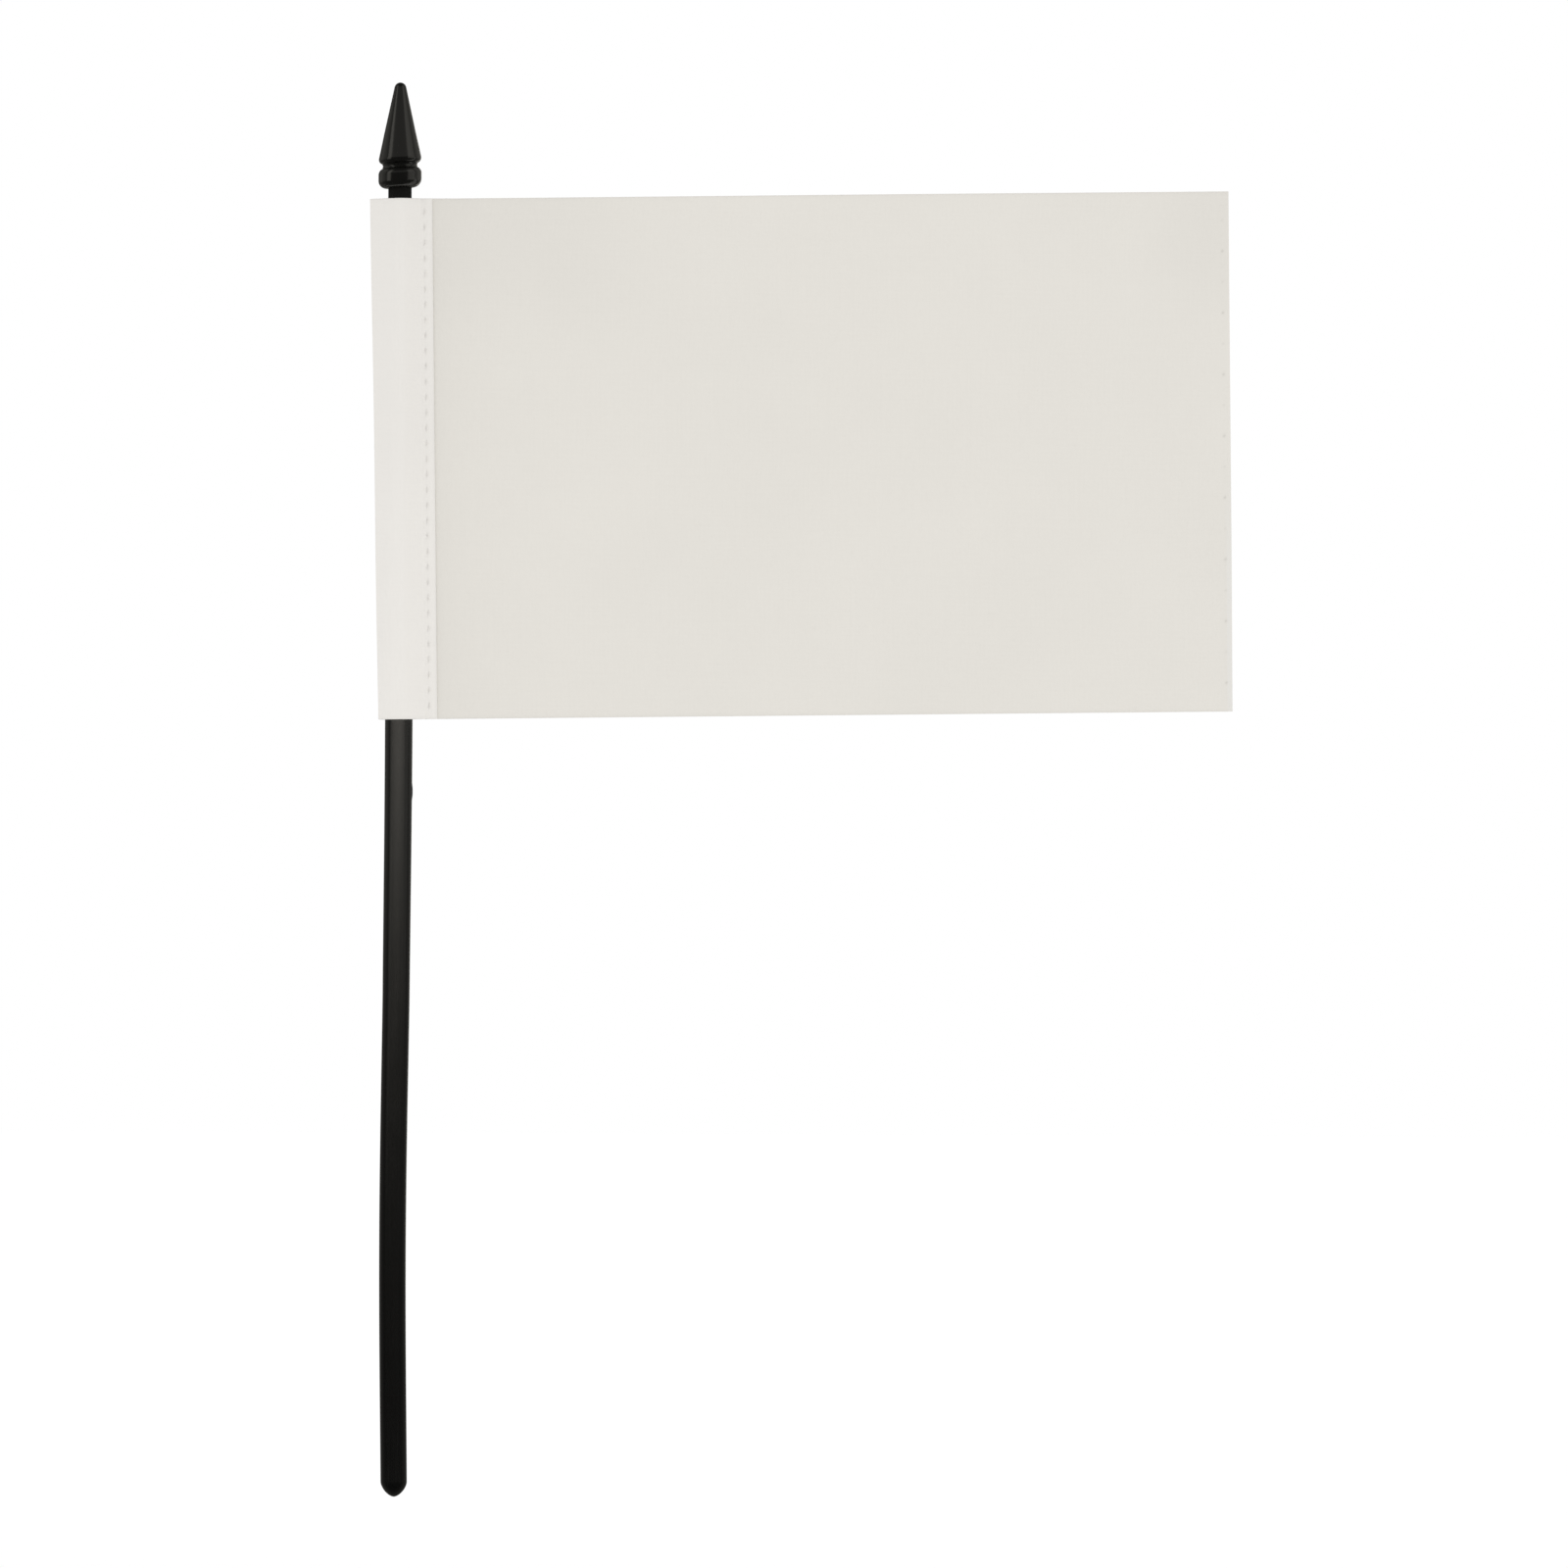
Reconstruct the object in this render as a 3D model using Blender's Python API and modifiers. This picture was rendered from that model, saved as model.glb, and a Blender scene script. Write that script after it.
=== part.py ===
"""A small table flag on its pole, without a stand.

A moulded plastic pole has a rounded foot and a bare neck at the top. A spear finial is
pushed over the neck. The flag is one sheet of cloth: its hoist edge is folded over to the
front round the pole and sewn down as a sleeve, and its fly edge is turned to the back and
sewn as a narrow hem. Each sewn row is a lockstitch, so it is two threads, a needle thread
and a bobbin thread.

The origin is the tip of the pole's foot. +Z runs up the pole, the flag flies towards +X,
and the side with the sleeve's flap faces -Y. Lengths are in metres.
"""

import math

import bmesh
import bpy
from mathutils import Matrix

MM = 0.001

# Pole
POLE_FOOT_RADIUS = 2.53 * MM
POLE_WIDEST_RADIUS = 2.66 * MM
POLE_WIDEST_Z = 150.0 * MM
NECK_RADIUS = 2.25 * MM
NECK_START_Z = 251.0 * MM
FOOT_LENGTH = 2.9 * MM
FOOT_ROUNDING = 1.65
FOOT_FULLNESS = 0.61
NECK_CHAMFER = 0.5 * MM

# Finial
FINIAL_BASE_Z = 254.4 * MM
TIP_Z = 274.9 * MM
TIP_RADIUS = 1.15 * MM
CONE_HALF_ANGLE = math.radians(12.2)
CONE_EDGE_RADIUS = 1.0 * MM
CONE_EDGE_AXIS_RADIUS = 3.12 * MM
CONE_EDGE_Z = 260.1 * MM
GROOVE_RADIUS = 3.28 * MM
GROOVE_Z = 258.75 * MM
COLLAR_RADIUS = 4.18 * MM
COLLAR_TOP_Z = 257.1 * MM
COLLAR_LOW_Z = 256.0 * MM
COLLAR_TOP_ROUND = 1.3 * MM
SOCKET_CLEARANCE = 0.15 * MM
SOCKET_DEPTH = 9.4 * MM
SOCKET_END_GAP = 0.3 * MM

# Flag, in its own frame: x is measured from the pole's axis, z from half the hoist
FLAG_HOIST = 101.2 * MM
FLAG_MIDDLE_Z = 201.7 * MM
FLAG_TILT = math.radians(0.82)
FOLD_X = -4.56 * MM
FLY_X = 161.66 * MM
CLOTH = 0.25 * MM
LAYER_GAP = 0.15 * MM
SLEEVE_CLEARANCE = 0.29 * MM
SLEEVE_LENGTH = 8.6 * MM
SLEEVE_SEAM_X = 5.43 * MM
FLAP_X = 6.78 * MM
HEM_WIDTH = 2.4 * MM
HEM_SEAM_INSET = 1.1 * MM

# Stitches
STITCH = 3.0 * MM
STITCH_COUNT = 33
THREAD_RADIUS = 0.11 * MM
THREAD_GAP = 0.1 * MM
THREAD_END_INSET = 0.7 * MM
DIP_HALF_LENGTH = 0.45 * MM
THREAD_CENTRE_GAP = 0.175 * MM
NEEDLE_HOLE = (0.5 * MM, 1.6 * MM, 1.0 * MM)

# Fineness
TURNED_STEPS = 32
SLEEVE_STEPS = 22
HEM_STEPS = 6


def clear_scene():
    for obj in list(bpy.data.objects):
        bpy.data.objects.remove(obj)


def new_collection(name):
    collection = bpy.data.collections.new(name)
    bpy.context.scene.collection.children.link(collection)
    return collection


def new_material(name, colour, roughness, coat=0.0, sheen=0.0):
    """A Principled BSDF of one colour."""
    material = bpy.data.materials.new(name)
    material.use_nodes = True
    shader = material.node_tree.nodes["Principled BSDF"]
    shader.inputs["Base Color"].default_value = (*colour, 1.0)
    shader.inputs["Roughness"].default_value = roughness
    shader.inputs["Metallic"].default_value = 0.0
    shader.inputs["Coat Weight"].default_value = coat
    shader.inputs["Sheen Weight"].default_value = sheen
    return material


def add_object(name, data, collection, material=None, parent=None):
    obj = bpy.data.objects.new(name, data)
    collection.objects.link(obj)
    obj.parent = parent
    if material:
        data.materials.append(material)
    return obj


def arc(centre_x, centre_z, radius, start_deg, end_deg, steps):
    """Points on an arc in the XZ plane, from one angle to another."""
    points = []
    for step in range(steps + 1):
        angle = math.radians(start_deg + (end_deg - start_deg) * step / steps)
        points.append((centre_x + radius * math.cos(angle), centre_z + radius * math.sin(angle)))
    return points


def turned(name, profile, base_z, collection, material):
    """A solid of revolution about Z, from (radius, z) points that run down its outer side."""
    mesh = bpy.data.meshes.new(name)
    points = [(radius, 0.0, z - base_z) for radius, z in profile]
    edges = [(index, index + 1) for index in range(len(points) - 1)]
    mesh.from_pydata(points, edges, [])
    obj = add_object(name, mesh, collection, material)
    obj.location.z = base_z
    screw = obj.modifiers.new("turn", "SCREW")
    screw.axis = "Z"
    screw.steps = TURNED_STEPS
    screw.render_steps = TURNED_STEPS
    screw.use_merge_vertices = True
    screw.merge_threshold = 0.001 * MM
    screw.use_smooth_shade = True
    return obj


def foot_profile(steps=9):
    """The blunt dome that ends the pole, from its full radius to its tip, finer near the tip."""
    points = []
    for step in range(steps + 1):
        height = (1.0 - step / steps) ** 1.5
        fullness = (1.0 - (1.0 - height) ** FOOT_ROUNDING) ** FOOT_FULLNESS
        points.append((POLE_FOOT_RADIUS * fullness, FOOT_LENGTH * height))
    return points


def make_pole(collection):
    """A rod that is widest near its middle and thins to the neck that the finial grips."""
    material = new_material("pole_satin_plastic", (0.012, 0.012, 0.012), 0.42)
    top_z = FINIAL_BASE_Z + SOCKET_DEPTH - SOCKET_END_GAP
    profile = [
        (0.0, top_z),
        (NECK_RADIUS - NECK_CHAMFER, top_z),
        (NECK_RADIUS, top_z - NECK_CHAMFER),
        (NECK_RADIUS, NECK_START_Z),
        (POLE_WIDEST_RADIUS, POLE_WIDEST_Z),
    ]
    return turned("pole", profile + foot_profile(), 0.0, collection, material)


def make_finial(collection):
    """A cone with a rounded tip above a round collar, with a blind socket from below."""
    material = new_material("finial_gloss_plastic", (0.010, 0.010, 0.010), 0.12, coat=0.3)
    side_deg = math.degrees(CONE_HALF_ANGLE)
    socket_radius = NECK_RADIUS + SOCKET_CLEARANCE
    low_round = COLLAR_LOW_Z - FINIAL_BASE_Z
    profile = arc(0.0, TIP_Z - TIP_RADIUS, TIP_RADIUS, 90.0, side_deg, 5)
    profile += arc(CONE_EDGE_AXIS_RADIUS, CONE_EDGE_Z, CONE_EDGE_RADIUS, side_deg, -70.0, 5)
    profile += [(GROOVE_RADIUS, GROOVE_Z)]
    profile += arc(
        COLLAR_RADIUS - COLLAR_TOP_ROUND, COLLAR_TOP_Z, COLLAR_TOP_ROUND, 70.0, 0.0, 4
    )
    profile += arc(COLLAR_RADIUS - low_round, COLLAR_LOW_Z, low_round, 0.0, -90.0, 5)
    profile += [
        (socket_radius, FINIAL_BASE_Z),
        (socket_radius, FINIAL_BASE_Z + SOCKET_DEPTH),
        (0.0, FINIAL_BASE_Z + SOCKET_DEPTH),
    ]
    return turned("finial", profile, FINIAL_BASE_Z, collection, material)


def cloth_path():
    """The middle of the cloth's thickness in plan, from the flap's edge to the hem's edge."""
    layer = CLOTH + LAYER_GAP
    half_length = SLEEVE_LENGTH / 2
    half_depth = POLE_WIDEST_RADIUS + SLEEVE_CLEARANCE + CLOTH / 2
    centre_x = FOLD_X + CLOTH / 2 + half_length
    seam_start = SLEEVE_SEAM_X - 0.7 * MM
    tangent_x = half_length**2 / (seam_start - centre_x)
    tangent_angle = math.acos(tangent_x / half_length)
    path = [(FLAP_X, -layer), (SLEEVE_SEAM_X + 0.6 * MM, -layer), (seam_start, -layer)]
    for step in range(SLEEVE_STEPS + 1):
        turn = tangent_angle + (2 * math.pi - 2 * tangent_angle) * step / SLEEVE_STEPS
        x = centre_x + half_length * math.cos(turn)
        path.append((x, -half_depth * math.sin(turn)))
    fold_radius = layer / 2
    fold_x = FLY_X - fold_radius - CLOTH / 2
    hem_seam = FLY_X - HEM_SEAM_INSET
    path += [(seam_start, 0.0), (SLEEVE_SEAM_X + 0.6 * MM, 0.0), (hem_seam - 0.6 * MM, 0.0)]
    path += arc(fold_x, fold_radius, fold_radius, -90.0, 90.0, HEM_STEPS)
    path += [(hem_seam - 0.6 * MM, layer), (FLY_X - HEM_WIDTH, layer)]
    return path


def needle_holes(name, x, side, collection, parent):
    """A cutter with one slot for each stitch, through both layers of the cloth."""
    shape = bmesh.new()
    layer = CLOTH + LAYER_GAP
    for z in stitch_heights():
        place = Matrix.Translation((x, side * layer / 2, z))
        size = Matrix.Diagonal((*NEEDLE_HOLE, 1.0))
        bmesh.ops.create_cube(shape, size=1.0, matrix=place @ size)
    mesh = bpy.data.meshes.new(name)
    shape.to_mesh(mesh)
    shape.free()
    cutter = add_object(name, mesh, collection, parent=parent)
    cutter.rotation_euler.y = -FLAG_TILT
    cutter.hide_render = True
    cutter.display_type = "WIRE"
    return cutter


def make_cloth(collection, cutters, pivot):
    """The flag's one sheet: the path in plan, drawn up to the hoist and thickened."""
    material = new_material("flag_polyester", (0.76, 0.73, 0.69), 0.85, sheen=0.2)
    shape = bmesh.new()
    points = [shape.verts.new((x, y, -FLAG_HOIST / 2)) for x, y in cloth_path()]
    edges = [shape.edges.new(pair) for pair in zip(points, points[1:])]
    drawn = bmesh.ops.extrude_edge_only(shape, edges=edges)["geom"]
    upper = [item for item in drawn if isinstance(item, bmesh.types.BMVert)]
    bmesh.ops.translate(shape, verts=upper, vec=(0.0, 0.0, FLAG_HOIST))
    bmesh.ops.recalc_face_normals(shape, faces=shape.faces)
    mesh = bpy.data.meshes.new("flag_cloth")
    shape.to_mesh(mesh)
    shape.free()
    cloth = add_object("flag_cloth", mesh, collection, material, pivot)
    cloth.rotation_euler.y = -FLAG_TILT
    solid = cloth.modifiers.new("thickness", "SOLIDIFY")
    solid.thickness = CLOTH
    solid.offset = 0.0
    solid.use_even_offset = True
    for name, x, side in (("sleeve", SLEEVE_SEAM_X, -1), ("hem", FLY_X - HEM_SEAM_INSET, 1)):
        cut = cloth.modifiers.new(name + "_needle_holes", "BOOLEAN")
        cut.operation = "DIFFERENCE"
        cut.object = needle_holes(name + "_needle_holes", x, side, cutters, pivot)
    return cloth


def stitch_heights():
    """The heights of the needle holes in a row, from the bottom of the flag up."""
    middle = (STITCH_COUNT - 1) / 2
    return [(index - middle) * STITCH for index in range(STITCH_COUNT)]


def make_thread(name, x, run_y, dip_y, collection, material, pivot):
    """One thread of a row: it runs on the cloth and dips into each needle hole."""
    end = FLAG_HOIST / 2 - THREAD_END_INSET
    points = [(x, run_y, -end)]
    for z in stitch_heights():
        points.append((x, run_y, z - DIP_HALF_LENGTH))
        points.append((x, dip_y, z))
        points.append((x, run_y, z + DIP_HALF_LENGTH))
    points.append((x, run_y, end))
    curve = bpy.data.curves.new(name, "CURVE")
    curve.dimensions = "3D"
    curve.bevel_depth = THREAD_RADIUS
    curve.bevel_resolution = 0
    curve.use_fill_caps = True
    spline = curve.splines.new("POLY")
    spline.points.add(len(points) - 1)
    for point, place in zip(spline.points, points):
        point.co = (*place, 1.0)
    thread = add_object(name, curve, collection, material, pivot)
    thread.rotation_euler.y = -FLAG_TILT
    return thread


def make_seam(name, x, side, collection, pivot):
    """A lockstitched row: the needle thread on the folded layer, the bobbin thread opposite."""
    material = new_material(name + "_polyester_thread", (0.74, 0.71, 0.67), 0.6)
    layer = CLOTH + LAYER_GAP
    lift = CLOTH / 2 + THREAD_GAP + THREAD_RADIUS
    needle_run = side * (layer + lift)
    needle_dip = side * (layer / 2 + THREAD_CENTRE_GAP)
    bobbin_run = -side * lift
    bobbin_dip = side * (layer / 2 - THREAD_CENTRE_GAP)
    make_thread(name + "_needle_thread", x, needle_run, needle_dip, collection, material, pivot)
    make_thread(name + "_bobbin_thread", x, bobbin_run, bobbin_dip, collection, material, pivot)


def main():
    clear_scene()
    parts = new_collection("table_flag")
    cutters = new_collection("cutters")
    make_pole(parts)
    make_finial(parts)
    pivot = add_object("flag_pivot", None, parts)
    pivot.location.z = FLAG_MIDDLE_Z
    make_cloth(parts, cutters, pivot)
    make_seam("sleeve", SLEEVE_SEAM_X, -1, parts, pivot)
    make_seam("hem", FLY_X - HEM_SEAM_INSET, 1, parts, pivot)


main()
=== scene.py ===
import math

import bpy
import numpy as np
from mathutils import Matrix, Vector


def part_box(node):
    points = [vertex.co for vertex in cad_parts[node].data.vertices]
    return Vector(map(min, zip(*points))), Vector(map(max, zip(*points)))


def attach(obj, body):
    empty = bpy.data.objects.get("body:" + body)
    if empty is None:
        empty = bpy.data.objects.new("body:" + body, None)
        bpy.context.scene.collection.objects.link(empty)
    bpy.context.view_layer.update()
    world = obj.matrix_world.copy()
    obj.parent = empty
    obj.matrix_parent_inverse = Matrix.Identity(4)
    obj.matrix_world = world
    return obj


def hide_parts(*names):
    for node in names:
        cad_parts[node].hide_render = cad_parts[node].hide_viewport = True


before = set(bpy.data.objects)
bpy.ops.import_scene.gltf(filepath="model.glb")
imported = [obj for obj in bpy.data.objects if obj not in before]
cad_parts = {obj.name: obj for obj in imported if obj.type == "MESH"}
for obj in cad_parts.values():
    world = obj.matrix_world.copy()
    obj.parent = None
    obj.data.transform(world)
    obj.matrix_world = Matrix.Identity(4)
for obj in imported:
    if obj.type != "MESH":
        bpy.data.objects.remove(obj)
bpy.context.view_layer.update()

# A small table flag: a satin black pole, a glossy spear finial, and a plain cloth flag with a sewn
# sleeve and hem. Each piece replaces the CAD solid of the same thing and lies where that lies.
# Lengths are in metres.

MM = 0.001

# The flag's frame, as in the CAD: x runs along the fly from the pole's axis, z along the hoist
FLAG_TILT = math.radians(0.82)

# Cloth: its thickness, the distance between the middles of two sewn layers, and its weave
CLOTH = 0.22 * MM
LAYER = 0.25 * MM
WEAVE_PITCH = 0.24 * MM
FUSED_REACH = 0.22 * MM

# The layers of the cloth, in the order in which one row of it runs from cut edge to cut edge
FLAP, SLEEVE, FLY, FOLD, HEM = range(5)

# The spacing of the cloth's points: from a cut edge, between rows, and along a row
RIM_DISTANCES = np.array([0.0, 0.03, 0.08, 0.15, 0.25]) * MM
ROW_STEP = 0.375 * MM
FLY_STEP = 1.15 * MM
SEWN_STEP = 0.17 * MM
FLAP_STEP = 0.15 * MM

# Sleeve and hem: where the layers meet, the flap past the seam, the room round the pole, the fold
SEAM_LEAD = 0.7 * MM
FLAP_PAST_SEAM = 1.6 * MM
FLAP_LIFT = 0.05 * MM
SLEEVE_SLACK = 0.25 * MM
SLEEVE_SMOOTHINGS = 5
FOLD_RADIUS = 0.45 * MM
HEM_WIDTH = 2.4 * MM

# How far the fold and the fly stand past the CAD's at mid-height, and how much more at the top
FOLD_EASE = 0.22 * MM
FOLD_SKEW = 0.31 * MM
FLY_EASE = 0.14 * MM
FLY_SKEW = 0.08 * MM

# How far the fly hangs behind the sleeve's seam, and how soon past the seam it gets there
FLY_SETBACK = 0.9 * MM
FLY_SETTLE = 3.0 * MM

# Shares of painted shade in the cloth's colour: in the holes, beside the flap, at two corners, up the
# sleeve
NEEDLE_HOLE_PAINTED_SHADE = 0.05
HEM_HOLE_PAINTED_SHADE = 0.60
BESIDE_FLAP_PAINTED_SHADOW = 0.12
UPPER_CORNER_PAINTED_SHADE = 0.09
SLEEVE_PAINTED_SHADE = 0.10

# Sewing: a dimple's reach is across the row and along it, and the folded layer is dented most
STITCH = 3.0 * MM
STITCH_COUNT = 33
THREAD_RADIUS = 0.11 * MM
THREAD_TWIST = 0.62 * MM
THREAD_SUNK = 0.95
THREAD_STEP = 0.075 * MM
SLEEVE_HOLE_REACH = (0.40 * MM, 0.52 * MM)
HEM_HOLE_REACH = (0.24 * MM, 0.28 * MM)
HEM_HOLE_STRENGTHS = (0.1, 1.0, 0.1, 0.4)
FOLDED_DIMPLE, FLY_DIMPLE = 0.17 * MM, 0.09 * MM
FOLDED_SWELL, FLY_SWELL = -0.02 * MM, 0.01 * MM
THINNED_AT_HOLES = 0.40

# Pole
NECK_START_Z = 251.0 * MM
POLE_WIDEST_Z = 150.0 * MM
POLE_FOOT_RADIUS = 2.53 * MM
NECK_RADIUS = 2.25 * MM
NECK_CHAMFER = 0.5 * MM
FOOT_LENGTH = 2.9 * MM
FOOT_ROUNDING = 1.65
FOOT_FULLNESS = 0.61
GATE_MARK_Z = 137.05 * MM
GATE_MARK_REACH = 1.25 * MM
GATE_MARK_HEIGHT = 0.12 * MM
PARTING_HEIGHT = 0.028 * MM
BOW_CROSSES_Z = 98.0 * MM
BOW_ENDS_Z = 210.0 * MM
LOW_BOW = -0.47 * MM
HIGH_BOW = 0.27 * MM

# Finial: its groove and collar sit askew, by this rise to the right
COLLAR_SLOPE = 0.06
COLLAR_SLOPE_FROM_Z = 261.0 * MM
COLLAR_SLOPE_TO_Z = 266.0 * MM


def flag_frame():
    """The flag's size and place, worked out from the box of its CAD solid and the tilt."""
    low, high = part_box("flag_cloth")
    size, centre = high - low, (high + low) / 2
    sine, cosine = math.sin(FLAG_TILT), math.cos(FLAG_TILT)
    share = cosine**2 - sine**2
    fly = (size.x * cosine - size.z * sine) / share
    hoist = (size.z * cosine - size.x * sine) / share
    middle_x = centre.x / cosine
    return {
        "hoist": hoist,
        "fold_x": middle_x - fly / 2,
        "fly_x": middle_x + fly / 2,
        "middle_z": centre.z - centre.x * math.tan(FLAG_TILT),
    }


def row_x(node):
    """How far from the pole's axis a row of stitches runs, from the box of its CAD thread."""
    low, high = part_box(node)
    return (low.x + high.x) / 2 / math.cos(FLAG_TILT)


FLAG = flag_frame()
HALF_HOIST = FLAG["hoist"] / 2
SEAM_X = row_x("sleeve_needle_thread")
HEM_X = row_x("hem_needle_thread")
POLE_TOP_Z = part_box("pole")[1].z
POLE_WIDEST_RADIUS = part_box("pole")[1].x
FINIAL_BASE_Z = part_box("finial")[0].z
FINIAL_TIP_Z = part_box("finial")[1].z
COLLAR_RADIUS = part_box("finial")[1].x


# ---------------------------------------------------------------- materials


def add_node(tree, kind, inputs=(), **settings):
    """A node with its settings, whose inputs are given as {socket: value or another socket}."""
    node = tree.nodes.new(kind)
    for name, value in settings.items():
        setattr(node, name, value)
    for name, value in dict(inputs).items():
        if isinstance(value, bpy.types.NodeSocket):
            tree.links.new(value, node.inputs[name])
        else:
            node.inputs[name].default_value = value
    return node


def maths(tree, operation, first, second=0.0, third=0.0):
    """The result of one Math node."""
    values = {0: first, 1: second, 2: third}
    return add_node(tree, "ShaderNodeMath", values, operation=operation).outputs[0]


def blended(tree, factor, low, high):
    """A colour between two, by a factor."""
    mix = add_node(tree, "ShaderNodeMix", {0: factor, 6: low, 7: high}, data_type="RGBA")
    return mix.outputs[2]


def ranged(tree, value, from_low, from_high, to_low, to_high):
    """A value carried smoothly from one range to another, and held at its ends."""
    inputs = {
        "Value": value, "From Min": from_low, "From Max": from_high, "To Min": to_low, "To Max": to_high,
    }
    return add_node(tree, "ShaderNodeMapRange", inputs, interpolation_type="SMOOTHSTEP").outputs[0]


def new_material(name):
    """A material with its node tree and its Principled shader."""
    material = bpy.data.materials.new(name)
    material.use_nodes = True
    return material, material.node_tree, material.node_tree.nodes["Principled BSDF"]


def noise(tree, coordinates, scale, detail=2.0, roughness=0.5):
    """Noise from 0 to 1 over some coordinates."""
    inputs = {"Vector": coordinates, "Scale": scale, "Detail": detail, "Roughness": roughness}
    return add_node(tree, "ShaderNodeTexNoise", inputs).outputs["Fac"]


def stretched(tree, coordinates, scale):
    """Coordinates scaled along each axis, so that a noise over them is drawn out."""
    inputs = {"Vector": coordinates, "Scale": scale}
    return add_node(tree, "ShaderNodeMapping", inputs).outputs["Vector"]


def plain_weave(tree, coordinates):
    """The height, 0 to 1.5, of a plain weave whose threads run along the first two coordinates."""
    split = add_node(tree, "ShaderNodeSeparateXYZ", {"Vector": coordinates})
    turns = math.pi / WEAVE_PITCH
    across = maths(tree, "COSINE", maths(tree, "MULTIPLY", split.outputs["X"], turns))
    along = maths(tree, "COSINE", maths(tree, "MULTIPLY", split.outputs["Y"], turns))
    crossing = maths(tree, "MULTIPLY", across, along)
    warp = maths(tree, "MULTIPLY_ADD", crossing, 0.5, maths(tree, "ABSOLUTE", across))
    weft = maths(tree, "MULTIPLY_ADD", crossing, -0.5, maths(tree, "ABSOLUTE", along))
    return maths(tree, "MAXIMUM", warp, weft)


def cloth_material(name, colour):
    """Plain-woven polyester: relief thread by thread, uneven yarn, and a fused cut edge.

    It reads what shade_cloth stores at each point: the place on the cut sheet, and the shares of
    fused edge, of painted shade and of painted light on the hem.
    """
    material, tree, shader = new_material(name)
    place = add_node(tree, "ShaderNodeAttribute", attribute_name="weave").outputs["Vector"]
    fused = add_node(tree, "ShaderNodeAttribute", attribute_name="fused").outputs["Fac"]
    painted_shade = add_node(tree, "ShaderNodeAttribute", attribute_name="painted_shade").outputs["Fac"]
    hem_painted_light = add_node(tree, "ShaderNodeAttribute", attribute_name="hem_painted_light").outputs["Fac"]
    height = plain_weave(tree, place)
    warp_yarn = noise(tree, stretched(tree, place, (2600.0, 45.0, 1.0)), 1.0)
    weft_yarn = noise(tree, stretched(tree, place, (45.0, 2600.0, 1.0)), 1.0)
    cloudy = noise(tree, place, 26.0, 4.0, 0.6)
    tone = maths(tree, "MULTIPLY_ADD", height, 0.10, 0.25)
    tone = maths(tree, "MULTIPLY_ADD", warp_yarn, 0.14, tone)
    tone = maths(tree, "MULTIPLY_ADD", weft_yarn, 0.14, tone)
    tone = maths(tree, "MULTIPLY_ADD", cloudy, 0.44, tone)
    low = tuple(0.94 * channel for channel in colour) + (1.0,)
    high = tuple(min(1.0, 1.06 * channel) for channel in colour) + (1.0,)
    shade = blended(tree, tone, low, high)
    fused_edge = tuple(0.95 * channel for channel in colour) + (1.0,)
    # Painted light: a lighter colour on the hem strip's lower half
    hem_painted_light_colour = (0.786, 0.769, 0.730, 1.0)
    # Painted shade: a darker colour in the holes, beside the flap, at the upper corners and up the
    # sleeve
    painted_shade_colour = tuple(0.72 * channel for channel in colour) + (1.0,)
    shade = blended(tree, fused, shade, fused_edge)
    shade = blended(tree, hem_painted_light, shade, hem_painted_light_colour)
    shade = blended(tree, painted_shade, shade, painted_shade_colour)
    tree.links.new(shade, shader.inputs["Base Color"])
    soft = maths(tree, "MULTIPLY_ADD", fused, -0.3, 0.86)
    tree.links.new(soft, shader.inputs["Roughness"])
    relief = maths(tree, "MULTIPLY_ADD", warp_yarn, 0.6, height)
    relief = maths(tree, "MULTIPLY_ADD", weft_yarn, 0.6, relief)
    bump = add_node(
        tree, "ShaderNodeBump", {"Strength": 0.55, "Distance": 0.03 * MM, "Height": relief}
    )
    tree.links.new(bump.outputs["Normal"], shader.inputs["Normal"])
    shader.inputs["Specular IOR Level"].default_value = 0.25
    shader.inputs["Sheen Weight"].default_value = 0.12
    shader.inputs["Sheen Roughness"].default_value = 0.45
    return material


def thread_material():
    """Spun polyester thread: fibres run along each twisted ply."""
    material, tree, shader = new_material("sewing_thread")
    place = add_node(tree, "ShaderNodeAttribute", attribute_name="weave").outputs["Vector"]
    fibres = noise(tree, stretched(tree, place, (9000.0, 900.0, 1.0)), 1.0, 3.0)
    low, high = (0.70, 0.68, 0.65, 1.0), (0.85, 0.83, 0.80, 1.0)
    tree.links.new(blended(tree, fibres, low, high), shader.inputs["Base Color"])
    inputs = {"Strength": 0.4, "Distance": 0.02 * MM, "Height": fibres}
    bump = add_node(tree, "ShaderNodeBump", inputs)
    tree.links.new(bump.outputs["Normal"], shader.inputs["Normal"])
    shader.inputs["Roughness"].default_value = 0.62
    shader.inputs["Sheen Weight"].default_value = 0.2
    return material


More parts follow.
